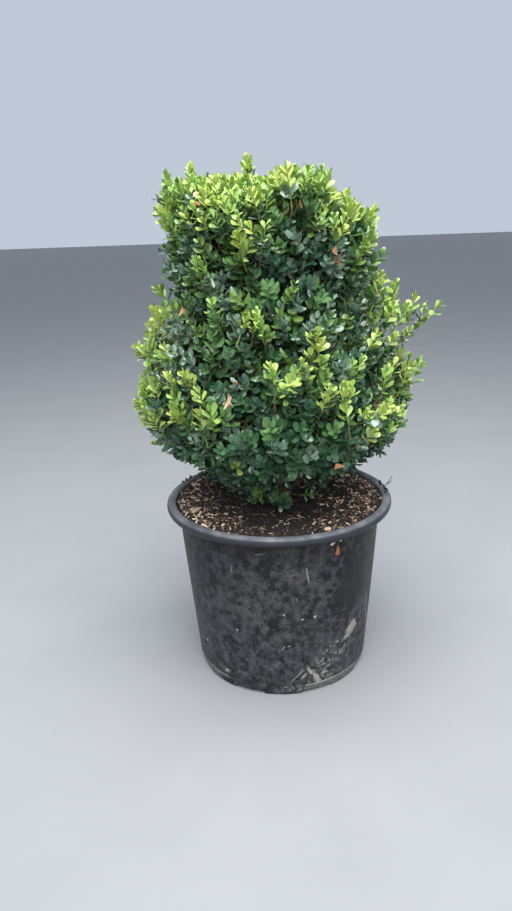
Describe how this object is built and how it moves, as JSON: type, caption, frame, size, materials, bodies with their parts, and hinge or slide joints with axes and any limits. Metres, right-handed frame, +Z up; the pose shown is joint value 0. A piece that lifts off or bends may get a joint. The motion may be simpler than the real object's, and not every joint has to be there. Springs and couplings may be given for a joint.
{
  "type": "potted box shrub",
  "caption": "Bushy evergreen shrub, clipped to a rounded block and grown out a little, in a tapered round plastic pot filled with compost.",
  "frame": {"origin": "middle of the pot's flat underside, which stands on the ground", "axes": "+Z up along the pot's axis, -Y towards the side that the picture shows, +X to that view's right"},
  "size_m": [0.5247, 0.5169, 0.8854],
  "materials": {
    "pot_plastic": "dusty charcoal polypropylene with scuffs",
    "compost": "moist dark potting compost with bark chips",
    "bark": "grey-brown bark, finely furrowed",
    "leaves": "leathery dark green leaves with a waxy sheen",
    "fresh_leaves": "soft lime-green new leaves"
  },
  "bodies": {
    "root": {"pot": "pot_plastic", "compost": "compost", "trunk": "bark", "bough_low_1": "bark", "bough_low_2": "bark", "bough_low_3": "bark", "bough_low_4": "bark", "bough_low_5": "bark", "bough_high_1": "bark", "bough_high_2": "bark", "bough_high_3": "bark", "bough_high_4": "bark", "bough_top": "bark", "foliage_low_1": "leaves", "foliage_low_2": "leaves", "foliage_low_3": "leaves", "foliage_low_4": "leaves", "foliage_low_5": "leaves", "foliage_high_1": "leaves", "foliage_high_2": "leaves", "foliage_high_3": "leaves", "foliage_high_4": "leaves", "foliage_top": "fresh_leaves"}
  },
  "joints": []
}
